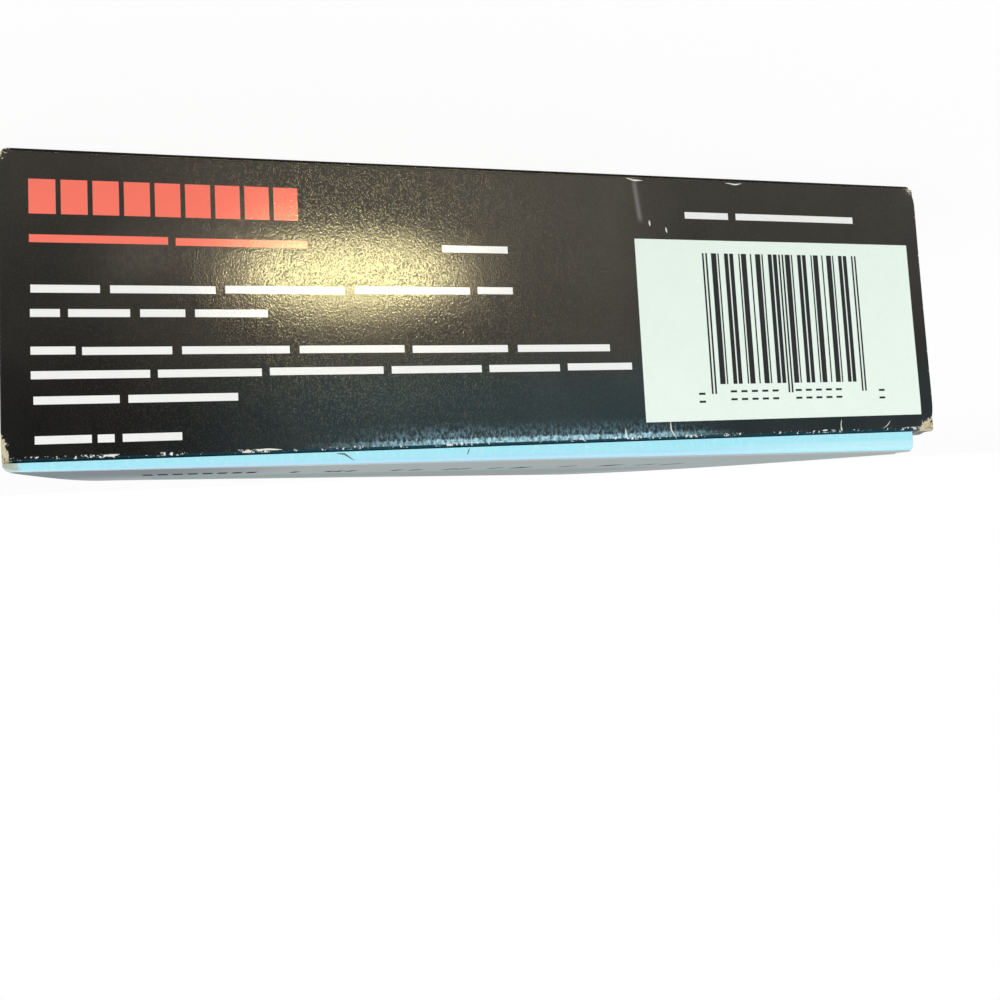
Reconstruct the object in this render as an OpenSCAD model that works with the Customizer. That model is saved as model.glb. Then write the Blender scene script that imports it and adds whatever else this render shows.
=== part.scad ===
// A closed tuck-end carton, lying on its back panel, with a folding pocket dictionary packed inside.
// X is the carton's width, Y its length, Z its thickness. The origin is the middle of its underside.
// "Near" is the -Y end, "far" the +Y end, "left" the -X side and "right" the +X side.

/* [Carton] */
// Outside width of the carton
carton_w = 156; // [152:1:200]
// Outside length of the carton
carton_l = 160; // [150:1:240]
// Height of an end closure's hinge fold over the table
end_h = 45.3; // [44.5:0.1:60]
// Thickness of the printed board
board_t = 0.5; // [0.4:0.05:0.6]
// Height of the straight rim of the front panel over the closure's hinge fold
front_rim_h = 1.7; // [0.5:0.1:3]
// Outside radius of the folds round the front panel
front_fold_r = 1; // [0.8:0.1:2]
// Angle at which the front panel rises towards its left edge
front_tilt = 1.05; // [0:0.05:1.2]
// How far the middle of the front panel swells out past its folds
front_crown = 0.3; // [0.1:0.1:1.5]
// Number of flats that make up the swell
crown_flats = 12; // [6:2:24]
// Number of flats that make up each round fold of the front panel
fold_steps = 6; // [4:1:12]
// Width of the glued seam flap
seam_w = 12; // [8:1:20]
// How far the seam flap stops short of each end
seam_end_gap = 3; // [1:0.5:8]

/* [Ends] */
// Clearance between an end closure and each side of the carton
closure_side_gap = 0.25; // [0.1:0.05:0.5]
// Play left at each hinged fold
fold_gap = 0.05; // [0.02:0.01:0.1]
// Clearance between a closure's lower fold and the back panel
tuck_gap = 0.15; // [0.1:0.05:0.3]
// Length of a tuck tongue
tongue_l = 12; // [12:0.5:14]
// Angle at which a tongue springs up off the back panel
tongue_lean = 10; // [9:0.5:14]
// How far a tongue stops short of each side
tongue_side_gap = 3; // [2:0.5:6]
// Corner radius of a tongue
tongue_corner_r = 6; // [3:0.5:6]
// Clearance between a closure and the dust flaps behind it
flap_gap = 0.3; // [0.2:0.05:0.6]
// Reach of a dust flap from its fold
flap_l = 56; // [40:1:70]
// How much shorter the reach is along the lower edge
flap_skew = 4; // [0:0.5:8]
// Gap from the closure's hinge to the top of a dust flap at its fold
flap_top_gap = 0.8; // [0.8:0.1:3]
// Angle at which the top edge of a dust flap falls away
flap_taper = 15; // [15:0.5:25]
// Gap from the back panel to the lower edge of a dust flap
flap_low_gap = 3; // [3:0.25:5]
// Corner radius of a dust flap
flap_corner_r = 3; // [1:0.5:6]

/* [Cradle and papers] */
// Height of the cradle's platform over the table
platform_z = 10; // [9:0.5:12]
// Thickness of the cradle's board
cradle_t = 0.6; // [0.5:0.1:0.9]
// Clearance from a cradle leg to the seam flap
leg_gap = 0.1; // [0.05:0.05:0.4]
// Clearance from the platform to the dust flaps
platform_end_gap = 0.3; // [0.2:0.1:1]
// Height of the fences round the dictionary
fence_h = 9; // [5:0.5:9.5]
// Clearance between the fences and the dictionary
fence_gap = 0.4; // [0.2:0.1:1]
// How far each fence stops short of the dictionary's corners
fence_end_gap = 8; // [4:1:20]
// Distance from each side of the carton to the printed guide
guide_side_gap = 28; // [8:1:35]
// Distance from each end of the carton to the printed guide
guide_end_gap = 20; // [18:1:40]
// Thickness of the printed guide
guide_t = 6; // [3:0.5:7]
// Thickness of the reference card on the guide
card_t = 0.4; // [0.3:0.1:0.8]
// How much smaller the card is than the guide on each side
card_inset = 4; // [2:1:15]

/* [Dictionary] */
// Width of the dictionary, along its hinge
dict_w = 132; // [130:1:150]
// Depth of the dictionary, from its front edge to its back
dict_d = 88; // [84:1:100]
// Corner radius of the cases
case_corner_r = 6; // [3:0.5:8]
// Wall of the cases
wall_t = 1.8; // [1.5:0.1:2.2]
// Height of the rubber feet
feet_h = 1; // [0.6:0.1:1.5]
// Radius of the rubber feet
feet_r = 4; // [3:0.5:6]
// How far the feet stand in from the edges
feet_inset = 10; // [8:0.5:14]
// Height of the lower case, without its deck
base_h = 8; // [8:0.5:10]
// Thickness of the key deck
deck_t = 2; // [1.6:0.1:2.4]
// Thickness of the lid
lid_h = 9; // [9:0.5:11]

/* [Hinge] */
// Radius of the hinge barrel and its knuckles
barrel_r = 4; // [3.5:0.1:4.2]
// Clearance between the barrel and what it turns in
barrel_gap = 0.4; // [0.3:0.05:0.5]
// Distance from the back of the lower case to the hinge axis
hinge_inset = 6; // [5.8:0.1:7]
// Width of the lip in front of the barrel's trough
trough_lip = 1; // [0.6:0.1:1.2]
// Distance from each side of the lower case to its hinge knuckle
knuckle_inset = 4; // [3:0.5:8]
// Length of each knuckle on the lower case
knuckle_l = 12; // [8:0.5:13]
// Side clearance between the barrel and a knuckle
knuckle_gap = 0.3; // [0.2:0.05:0.5]
// Radius of the hinge pins
pin_r = 1.4; // [1:0.1:1.6]
// Running clearance round a pin in the barrel
pin_gap = 0.08; // [0.05:0.01:0.1]
// How far a pin reaches into the barrel
pin_reach = 10; // [6:0.5:16]

/* [Keys] */
// Number of key columns
key_columns = 10; // [8:1:11]
// Number of key rows
key_rows = 5; // [4:1:5]
// Distance between keys along a row
key_pitch_x = 11.8; // [11:0.1:11.8]
// Distance between rows of keys
key_pitch_y = 11; // [10:0.1:11]
// Width of a key
key_w = 8.6; // [7:0.1:9]
// Depth of a key
key_d = 6.4; // [5:0.1:7]
// Clearance between a key and the deck
key_gap = 0.3; // [0.2:0.05:0.5]
// How far the keys stand out of the deck
key_proud = 0.8; // [0.4:0.1:1]
// Thickness of the rubber sheet under the keys
mat_t = 1.2; // [0.8:0.1:1.4]
// How far the sheet reaches past the outer keys
mat_edge = 2; // [1:0.5:2.5]
// How far the key block sits forward of the middle
key_block_shift = 5; // [4:0.5:6]

/* [Electronics] */
// Thickness of the main board
main_board_t = 1.6; // [1.2:0.1:1.6]
// Clearance between the main board and the case
board_edge_gap = 0.5; // [0.3:0.1:1]
// Side of the square processor
processor_w = 14; // [10:1:20]
// Length of the memory chip
memory_l = 20; // [12:1:26]
// Width of the memory chip
memory_w = 10; // [8:1:14]
// Height of the chips under the board
chip_h = 1.6; // [1:0.1:2]
// Radius of a coin cell
cell_r = 10; // [8:0.5:10]
// Thickness of a coin cell
cell_t = 3.2; // [2.5:0.1:3.2]
// Distance between the middles of the two cells
cell_pitch = 23; // [21:0.5:26]
// Margin of the battery opening round the cells
bay_margin = 1.5; // [1:0.5:3]
// How far the battery bay sits forward of the middle
bay_shift = 10; // [4:0.5:14]
// Clearance round the battery door
door_gap = 0.2; // [0.15:0.05:0.3]
// Width of the contact strip over the cells
contact_w = 5; // [3:0.5:8]

/* [Display] */
// Width of the display opening
view_w = 98; // [80:1:104]
// Height of the display opening
view_h = 40; // [30:1:44]
// How far the display sits forward of the middle
display_shift = 6; // [5:0.5:9]
// How far the window reaches past its opening
window_lap = 3; // [2:0.5:4]
// Thickness of the window
window_t = 0.8; // [0.6:0.1:1]
// Thickness of the display glass
glass_t = 2.2; // [1.8:0.1:2.2]
// Thickness of the display board
display_board_t = 1.1; // [0.8:0.1:1.2]
// Thickness of the lid's inner bezel
bezel_t = 1.5; // [1.3:0.1:1.6]
// Height of the bezel over the lid's rim
bezel_rise = 1.4; // [1.3:0.1:1.8]
// Clearance between the bezel and the lid's walls
bezel_gap = 0.2; // [0.1:0.05:0.3]

/* [Screws] */
// Radius of a screw's shank
screw_r = 0.9; // [0.7:0.1:1]
// Radius of a screw's head
screw_head_r = 1.9; // [1.6:0.1:2]
// Height of a screw's head
screw_head_h = 0.9; // [0.7:0.1:1]
// Clearance round a shank or head that passes through a piece
screw_gap = 0.3; // [0.2:0.05:0.4]
// Radius of the bosses that the screws hold in
boss_r = 3; // [2.6:0.1:3.4]
// How far the bosses stand in from the edges of a case
boss_inset = 5.5; // [5:0.5:6]
// Length of thread that each screw has in its boss
screw_bite = 2; // [1.5:0.1:2.4]

/* [Hidden] */
$fn = 48;
overcut = 1;
fold_z = end_h + front_rim_h;
carton_h = fold_z + front_fold_r;
closure_low_z = board_t + tuck_gap;
flap_y = carton_l / 2 - board_t - flap_gap;
side_half_l = flap_y - board_t - fold_gap;
leg_x = carton_w / 2 - 2 * board_t - leg_gap;
platform_half_l = flap_y - board_t - platform_end_gap;
floor_z = feet_h + wall_t;
deck_z = feet_h + base_h;
rim_z = deck_z + deck_t;
board_z = deck_z - mat_t - main_board_t;
hinge_y = dict_d / 2 - hinge_inset;
trough_r = barrel_r + barrel_gap;
bar_y = hinge_y - trough_r - trough_lip;
bar_half_w = dict_w / 2 - knuckle_inset;
barrel_l = 2 * (bar_half_w - knuckle_l - knuckle_gap);
guide_w = carton_w - 2 * guide_side_gap;
guide_l = carton_l - 2 * guide_end_gap;
bay_y = -bay_shift;
display_y = -display_shift;
bay_w = cell_pitch + 2 * (cell_r + bay_margin);
bay_d = 2 * (cell_r + bay_margin);
bezel_z = rim_z + bezel_rise;
bezel_back_y = bar_y - bezel_gap;
window_z = bezel_z + bezel_t;
glass_z = window_z + window_t;
lid_top_z = rim_z + lid_h;
key_block_w = (key_columns - 1) * key_pitch_x + key_w;
key_block_d = (key_rows - 1) * key_pitch_y + key_d;

// Rectangle with round corners, centred
module round_rect(w, d, r) {
    square([w - 2 * r, d], center = true);
    square([w, d - 2 * r], center = true);
    for (x = [-1, 1], y = [-1, 1]) translate([x * (w / 2 - r), y * (d / 2 - r)]) circle(r = r);
}

// Box with round upright edges, centred on X and Y and standing on z
module case_block(w, d, r, z, h) {
    translate([0, 0, z]) linear_extrude(height = h) round_rect(w, d, r);
}

// Plain box, centred on X and Y and standing on z
module slab(w, d, z, h) {
    translate([-w / 2, -d / 2, z]) cube([w, d, h]);
}

// Cylinder along X from x0 to x1 on the dictionary's hinge axis
module hinge_rod(r, x0, x1) {
    translate([x0, hinge_y, rim_z]) rotate([0, 90, 0]) cylinder(r = r, h = x1 - x0);
}

// Points of one round fold, from the side of the section up to its top: side is -1 or 1
function fold_arc(side, half_w, inset) = [for (i = [0 : fold_steps]) let (angle = 90 * i / fold_steps)
    [side * (half_w + (front_fold_r - inset) * cos(angle)), fold_z + (front_fold_r - inset) * sin(angle)]];

// Cross-section of the front panel over one span: a swelling top between two round folds, on straight rims
module front_section(span, inset) {
    half_w = span / 2 - front_fold_r;
    left = fold_arc(-1, half_w, inset);
    right = fold_arc(1, half_w, inset);
    polygon(concat(
        [[-half_w - front_fold_r + inset, 0]], left,
        [for (i = [1 : crown_flats - 1]) let (u = 2 * i / crown_flats - 1)
            [u * half_w, carton_h - inset + front_crown * (1 - u * u)]],
        [for (i = [fold_steps : -1 : 0]) right[i]],
        [[half_w + front_fold_r - inset, 0]]));
}

// Body bounded by the front panel's face, or by its inside when inset by the board's thickness
module front_body(inset) {
    translate([0, 0, carton_h]) rotate([0, front_tilt, 0]) translate([0, 0, -carton_h]) intersection() {
        rotate([90, 0, 0]) linear_extrude(height = carton_l, center = true) front_section(carton_w, inset);
        rotate([90, 0, 90]) linear_extrude(height = carton_w, center = true) front_section(carton_l, inset);
    }
}

module front_panel() {
    color([0.62, 0.87, 0.94]) difference() {
        intersection() {
            front_body(0);
            slab(carton_w + overcut, carton_l, end_h, carton_h);
        }
        front_body(board_t);
    }
}

module back_panel() {
    color([0.16, 0.16, 0.16]) slab(carton_w, carton_l, 0, board_t);
}

// Side panel, drawn for the right side
module side_panel() {
    color([0.16, 0.16, 0.16]) translate([carton_w / 2 - board_t, -side_half_l, board_t])
        cube([board_t, 2 * side_half_l, end_h - board_t]);
}

module right_side_panel() {
    side_panel();
}

module left_side_panel() {
    mirror([1, 0, 0]) side_panel();
}

// Seam flap, folded up from the back panel and glued inside the right side panel
module glue_flap() {
    seam_half_l = side_half_l - seam_end_gap;
    color([0.86, 0.82, 0.72]) translate([carton_w / 2 - 2 * board_t, -seam_half_l, board_t])
        cube([board_t, 2 * seam_half_l, seam_w]);
}

// End closure, drawn for the near end
module closure() {
    color([0.13, 0.13, 0.13]) translate([-carton_w / 2 + closure_side_gap, -carton_l / 2, closure_low_z])
        cube([carton_w - 2 * closure_side_gap, board_t, end_h - fold_gap - closure_low_z]);
}

// Tuck tongue: a strip with two round corners that leans up from the closure's lower fold
module tongue() {
    tongue_w = carton_w - 2 * tongue_side_gap;
    start_y = -carton_l / 2 + board_t * (1 + sin(tongue_lean));
    inner_w = tongue_w - 2 * tongue_corner_r;
    straight_l = tongue_l - tongue_corner_r;
    color([0.86, 0.82, 0.72]) translate([0, start_y, closure_low_z]) rotate([tongue_lean, 0, 0])
        linear_extrude(height = board_t) {
            translate([-tongue_w / 2, 0]) square([tongue_w, straight_l]);
            translate([-inner_w / 2, 0]) square([inner_w, tongue_l]);
            for (side = [-1, 1]) translate([side * inner_w / 2, straight_l]) circle(r = tongue_corner_r);
        }
}

// Dust flap of the near left corner: its top edge falls away so that the closure can swing past
module dust_flap() {
    low_z = board_t + flap_low_gap;
    top_z = end_h - flap_top_gap;
    tip_top_z = top_z - flap_l * tan(flap_taper);
    corner_x = flap_l - flap_skew;
    color([0.86, 0.82, 0.72]) translate([-carton_w / 2 + fold_gap, -flap_y + board_t, 0]) rotate([90, 0, 0])
        linear_extrude(height = board_t) difference() {
            polygon([[0, low_z], [corner_x, low_z], [flap_l, tip_top_z], [0, top_z]]);
            translate([corner_x - flap_corner_r, low_z]) difference() {
                square([2 * flap_corner_r, flap_corner_r]);
                translate([0, flap_corner_r]) circle(r = flap_corner_r);
            }
        }
}

module near_closure() {
    closure();
}

module far_closure() {
    mirror([0, 1, 0]) closure();
}

module near_tongue() {
    tongue();
}

module far_tongue() {
    mirror([0, 1, 0]) tongue();
}

module near_left_dust_flap() {
    dust_flap();
}

module near_right_dust_flap() {
    mirror([1, 0, 0]) dust_flap();
}

module far_left_dust_flap() {
    mirror([0, 1, 0]) dust_flap();
}

module far_right_dust_flap() {
    mirror([1, 0, 0]) mirror([0, 1, 0]) dust_flap();
}

module cradle_platform() {
    color([0.93, 0.92, 0.88]) slab(2 * leg_x, 2 * platform_half_l, platform_z - cradle_t, cradle_t);
}

// Leg of the cradle, drawn for the right side
module cradle_leg() {
    color([0.93, 0.92, 0.88]) translate([leg_x - cradle_t, -platform_half_l, board_t])
        cube([cradle_t, 2 * platform_half_l, platform_z - cradle_t - board_t]);
}

module cradle_right_leg() {
    cradle_leg();
}

module cradle_left_leg() {
    mirror([1, 0, 0]) cradle_leg();
}

// Fence that keeps the dictionary from sliding: distance from the middle, length
module fence(distance, length) {
    color([0.93, 0.92, 0.88]) translate([distance + fence_gap, -length / 2, platform_z])
        cube([cradle_t, length, fence_h]);
}

module cradle_right_fence() {
    fence(dict_d / 2, dict_w - 2 * fence_end_gap);
}

module cradle_left_fence() {
    mirror([1, 0, 0]) fence(dict_d / 2, dict_w - 2 * fence_end_gap);
}

module cradle_far_fence() {
    rotate([0, 0, 90]) fence(dict_w / 2, dict_d - 2 * fence_end_gap);
}

module cradle_near_fence() {
    rotate([0, 0, -90]) fence(dict_w / 2, dict_d - 2 * fence_end_gap);
}

module user_guide() {
    color([0.92, 0.92, 0.9]) slab(guide_w, guide_l, board_t, guide_t);
}

module reference_card() {
    color([0.75, 0.83, 0.88])
        slab(guide_w - 2 * card_inset, guide_l - 2 * card_inset, board_t + guide_t, card_t);
}

// Puts a piece of the dictionary, drawn with its hinge along X and at the back, in its place in the carton
module packed() {
    translate([0, 0, platform_z]) rotate([0, 0, 90]) children();
}

// Repeats a piece at the four places that stand in from a case's corners
module at_corners(w, y_front, y_back) {
    for (x = [-w / 2, w / 2], y = [y_front, y_back]) translate([x, y, 0]) children();
}

// Places of the screws in the lower case, and those in the lid
module at_base_bosses() {
    at_corners(dict_w - 2 * boss_inset, -dict_d / 2 + boss_inset, bar_y - wall_t - boss_inset) children();
}

module at_lid_bosses() {
    at_corners(dict_w - 2 * boss_inset, -dict_d / 2 + boss_inset, bezel_back_y - boss_inset) children();
}

// One screw, head down, with its head's underside on z = 0
module screw(shank_l) {
    translate([0, 0, -screw_head_h]) cylinder(r = screw_head_r, h = screw_head_h);
    cylinder(r = screw_r, h = shank_l);
}

// Hole that lets a screw through from below, with room for its head
module screw_hole(length) {
    cylinder(r = screw_r + screw_gap, h = length);
    cylinder(r = screw_head_r + screw_gap, h = screw_head_h + overcut);
}

module base_feet() {
    packed() color([0.1, 0.1, 0.1])
        at_corners(dict_w - 2 * feet_inset, -dict_d / 2 + feet_inset, dict_d / 2 - feet_inset)
            cylinder(r = feet_r, h = feet_h);
}

module base_shell() {
    cavity_d = bar_y + dict_d / 2 - 2 * wall_t;
    cavity_y = (bar_y - dict_d / 2) / 2;
    packed() color([0.25, 0.26, 0.28]) difference() {
        union() {
            difference() {
                case_block(dict_w, dict_d, case_corner_r, feet_h, base_h);
                translate([0, cavity_y, 0]) slab(dict_w - 2 * wall_t, cavity_d, floor_z, base_h);
            }
            intersection() {
                case_block(dict_w, dict_d, case_corner_r, feet_h, base_h + deck_t);
                translate([-bar_half_w, bar_y, floor_z]) cube([2 * bar_half_w, dict_d, rim_z - floor_z]);
            }
            hinge_rod(barrel_r, -bar_half_w, bar_half_w);
            at_base_bosses() translate([0, 0, feet_h]) cylinder(r = boss_r, h = board_z - feet_h);
        }
        hinge_rod(trough_r, -barrel_l / 2 - knuckle_gap, barrel_l / 2 + knuckle_gap);
        hinge_rod(pin_r, -bar_half_w - overcut, bar_half_w + overcut);
        translate([0, bay_y, 0]) slab(bay_w, bay_d, feet_h - overcut, wall_t + 2 * overcut);
        at_base_bosses() {
            translate([0, 0, feet_h - overcut]) screw_hole(base_h);
        }
    }
}

module base_screws() {
    shank_l = deck_z - mat_t + screw_bite - feet_h - screw_head_h;
    packed() color([0.7, 0.7, 0.72])
        at_base_bosses() translate([0, 0, feet_h + screw_head_h]) screw(shank_l);
}

// Repeats a piece at the place of each key
module at_keys() {
    first_x = -(key_columns - 1) / 2 * key_pitch_x;
    first_y = -(key_rows - 1) / 2 * key_pitch_y - key_block_shift;
    for (column = [0 : key_columns - 1], row = [0 : key_rows - 1])
        translate([first_x + column * key_pitch_x, first_y + row * key_pitch_y, 0]) children();
}

module key_deck() {
    packed() color([0.3, 0.31, 0.34]) difference() {
        union() {
            case_block(dict_w, dict_d, case_corner_r, deck_z, deck_t);
            at_base_bosses() translate([0, 0, deck_z - mat_t]) cylinder(r = boss_r, h = mat_t);
        }
        translate([-bar_half_w, bar_y, deck_z - overcut])
            cube([2 * bar_half_w, dict_d, deck_t + 2 * overcut]);
        at_keys() slab(key_w + 2 * key_gap, key_d + 2 * key_gap, deck_z - overcut, deck_t + 2 * overcut);
        at_base_bosses() translate([0, 0, deck_z - mat_t - overcut])
            cylinder(r = screw_r, h = screw_bite + overcut);
    }
}

module key_mat() {
    packed() color([0.55, 0.57, 0.6]) {
        translate([0, -key_block_shift, 0])
            slab(key_block_w + 2 * mat_edge, key_block_d + 2 * mat_edge, deck_z - mat_t, mat_t);
        at_keys() slab(key_w, key_d, deck_z - mat_t, mat_t + deck_t + key_proud);
    }
}

module main_board() {
    front_y = -dict_d / 2 + wall_t + board_edge_gap;
    back_y = bar_y - wall_t - board_edge_gap;
    packed() color([0.1, 0.38, 0.22]) difference() {
        translate([0, (front_y + back_y) / 2, 0])
            slab(dict_w - 2 * (wall_t + board_edge_gap), back_y - front_y, board_z, main_board_t);
        at_base_bosses() translate([0, 0, board_z - overcut])
            cylinder(r = screw_r + screw_gap, h = main_board_t + 2 * overcut);
    }
}

// Chips hang under the main board, on either side of the battery bay
module processor_chip() {
    packed() color([0.08, 0.08, 0.09]) translate([-(bay_w + processor_w) / 2 - processor_w / 2, bay_y, 0])
        slab(processor_w, processor_w, board_z - chip_h, chip_h);
}

module memory_chip() {
    packed() color([0.08, 0.08, 0.09]) translate([(bay_w + memory_w) / 2 + memory_w / 2, bay_y, 0])
        slab(memory_w, memory_l, board_z - chip_h, chip_h);
}

module battery_door() {
    packed() color([0.22, 0.23, 0.25]) translate([0, bay_y, 0])
        slab(bay_w - 2 * door_gap, bay_d - 2 * door_gap, feet_h, wall_t);
}

// Coin cell lying on the battery door: side is -1 or 1
module cell(side) {
    packed() color([0.78, 0.78, 0.8]) translate([side * cell_pitch / 2, bay_y, floor_z])
        cylinder(r = cell_r, h = cell_t);
}

module left_battery_cell() {
    cell(-1);
}

module right_battery_cell() {
    cell(1);
}

// Strip that joins the tops of the two cells under the main board
module battery_contact() {
    packed() color([0.8, 0.7, 0.4]) translate([0, bay_y, 0])
        slab(cell_pitch + cell_r, contact_w, floor_z + cell_t, board_z - floor_z - cell_t);
}

// Hinge pin: side is -1 or 1
module hinge_pin(side) {
    packed() color([0.75, 0.75, 0.77]) mirror([side < 0 ? 1 : 0, 0, 0])
        hinge_rod(pin_r, barrel_l / 2 - pin_reach, bar_half_w);
}

module left_hinge_pin() {
    hinge_pin(-1);
}

module right_hinge_pin() {
    hinge_pin(1);
}

module lid_shell() {
    inner_d = hinge_y + dict_d / 2 - 2 * wall_t;
    packed() color([0.27, 0.28, 0.3]) difference() {
        union() {
            difference() {
                intersection() {
                    case_block(dict_w, dict_d, case_corner_r, rim_z, lid_h);
                    translate([-dict_w / 2, -dict_d / 2, rim_z]) cube([dict_w, hinge_y + dict_d / 2, lid_h]);
                }
                translate([0, (hinge_y - dict_d / 2) / 2, 0])
                    slab(dict_w - 2 * wall_t, inner_d, rim_z - overcut, lid_h - wall_t + overcut);
            }
            hinge_rod(barrel_r, -barrel_l / 2, barrel_l / 2);
            at_lid_bosses() translate([0, 0, window_z])
                cylinder(r = boss_r, h = lid_top_z - wall_t - window_z);
        }
        for (side = [0, 1]) mirror([side, 0, 0])
            hinge_rod(trough_r, barrel_l / 2 + knuckle_gap / 2, bar_half_w + barrel_gap);
        hinge_rod(pin_r + pin_gap, -barrel_l / 2 - overcut, barrel_l / 2 + overcut);
        at_lid_bosses() translate([0, 0, window_z - overcut]) cylinder(r = screw_r, h = screw_bite + overcut);
    }
}

module lid_bezel() {
    front_y = -dict_d / 2 + wall_t + bezel_gap;
    bezel_w = dict_w - 2 * (wall_t + bezel_gap);
    packed() color([0.2, 0.2, 0.22]) difference() {
        translate([0, (front_y + bezel_back_y) / 2, 0])
            slab(bezel_w, bezel_back_y - front_y, bezel_z, bezel_t);
        translate([0, display_y, 0]) slab(view_w, view_h, bezel_z - overcut, bezel_t + 2 * overcut);
        at_lid_bosses() {
            translate([0, 0, bezel_z - overcut]) screw_hole(bezel_t + 2 * overcut);
        }
    }
}

module lid_screws() {
    shank_l = window_z + screw_bite - bezel_z - screw_head_h;
    packed() color([0.7, 0.7, 0.72])
        at_lid_bosses() translate([0, 0, bezel_z + screw_head_h]) screw(shank_l);
}

module display_window() {
    packed() color([0.8, 0.86, 0.86]) translate([0, display_y, 0])
        slab(view_w + 2 * window_lap, view_h + 2 * window_lap, window_z, window_t);
}

module display_glass() {
    packed() color([0.55, 0.6, 0.52]) translate([0, display_y, 0])
        slab(view_w + window_lap, view_h + window_lap, glass_z, glass_t);
}

module display_board() {
    packed() color([0.1, 0.38, 0.22]) translate([0, display_y, 0])
        slab(view_w + 2 * window_lap, view_h + 2 * window_lap, glass_z + glass_t, display_board_t);
}

back_panel();
front_panel();
left_side_panel();
right_side_panel();
glue_flap();
near_closure();
near_tongue();
near_left_dust_flap();
near_right_dust_flap();
far_closure();
far_tongue();
far_left_dust_flap();
far_right_dust_flap();
cradle_platform();
cradle_left_leg();
cradle_right_leg();
cradle_left_fence();
cradle_right_fence();
cradle_near_fence();
cradle_far_fence();
user_guide();
reference_card();
base_shell();
base_feet();
base_screws();
key_deck();
key_mat();
main_board();
processor_chip();
memory_chip();
battery_door();
left_battery_cell();
right_battery_cell();
battery_contact();
left_hinge_pin();
right_hinge_pin();
lid_shell();
lid_bezel();
lid_screws();
display_window();
display_glass();
display_board();
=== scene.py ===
import math
import bmesh
import bpy
import numpy as np
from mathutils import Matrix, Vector


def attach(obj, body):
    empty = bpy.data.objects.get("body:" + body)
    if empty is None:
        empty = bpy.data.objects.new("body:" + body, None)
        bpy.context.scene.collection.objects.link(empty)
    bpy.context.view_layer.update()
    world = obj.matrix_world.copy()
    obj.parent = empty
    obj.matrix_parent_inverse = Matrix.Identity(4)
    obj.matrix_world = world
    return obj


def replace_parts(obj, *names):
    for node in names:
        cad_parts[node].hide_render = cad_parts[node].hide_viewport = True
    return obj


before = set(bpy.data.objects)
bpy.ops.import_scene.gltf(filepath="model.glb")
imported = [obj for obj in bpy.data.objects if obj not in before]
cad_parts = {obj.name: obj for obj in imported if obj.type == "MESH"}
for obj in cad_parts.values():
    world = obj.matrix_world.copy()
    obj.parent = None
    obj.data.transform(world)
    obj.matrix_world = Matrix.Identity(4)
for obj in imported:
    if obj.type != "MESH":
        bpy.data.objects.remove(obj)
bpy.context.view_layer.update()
mm = 0.001
print("frame loaded with", len(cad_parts), "nodes")


# camera (millimetres and degrees), floor and lamps (metres)
cameraPlace = {"at": (53.71, -208.66, 50.25), "turn": (-85.757, -2.538, -166.743),
               "lens": 31.03, "shift": (0.1106, -0.0815)}
studio = {"skyForSurfaces": 0.76, "floorColour": (0.93, 0.93, 0.93), "floorWhitening": 0.92,
          "floorSide": 12.0, "floorLevel": -0.00003, "lampTarget": (0, 0, 0.02)}
lamps = [
    {"name": "keyLamp", "at": (-0.75, -1.05, 1.15), "size": 1.3, "power": 6, "colour": (1, 0.98, 0.95)},
    {"name": "fillLamp", "at": (1.0, -0.75, 0.8), "size": 1.1, "power": 3, "colour": (0.93, 0.97, 1)},
    {"name": "backLamp", "at": (0.2, 1.2, 1.1), "size": 1.2, "power": 3, "colour": (1, 1, 1)}]
# small warm lamps that show only as the highlight on the printed end (millimetres)
glints = [
    {"name": "glintLamp", "at": (20.5, -115, 9.0), "size": (41, 13), "power": 0.148,
     "colour": (1.0, 0.94, 0.44)},
    {"name": "glowLamp", "at": (20.5, -115.5, 9.2), "size": (54, 20), "power": 0.070,
     "colour": (1.0, 0.74, 0.47)}]


class shadeValue:
    # one output socket; arithmetic on it adds Math nodes
    def __init__(self, tree, socket):
        self.tree, self.socket = tree, socket

    def math(self, operation, *others):
        return self.tree.node("ShaderNodeMath", {"operation": operation}, [self, *others])

    def swapped(self, operation, other):
        return self.tree.node("ShaderNodeMath", {"operation": operation}, [other, self])

    def __add__(self, other):
        return self.math("ADD", other)

    def __radd__(self, other):
        return self.swapped("ADD", other)

    def __sub__(self, other):
        return self.math("SUBTRACT", other)

    def __rsub__(self, other):
        return self.swapped("SUBTRACT", other)

    def __mul__(self, other):
        return self.math("MULTIPLY", other)

    def __rmul__(self, other):
        return self.swapped("MULTIPLY", other)

    def __truediv__(self, other):
        return self.math("DIVIDE", other)

    def __rtruediv__(self, other):
        return self.swapped("DIVIDE", other)

    def __pow__(self, other):
        return self.math("POWER", other)

    def __neg__(self):
        return self.math("MULTIPLY", -1)

    def __abs__(self):
        return self.math("ABSOLUTE")

    def least(self, other):
        return self.math("MINIMUM", other)

    def most(self, other):
        return self.math("MAXIMUM", other)


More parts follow.
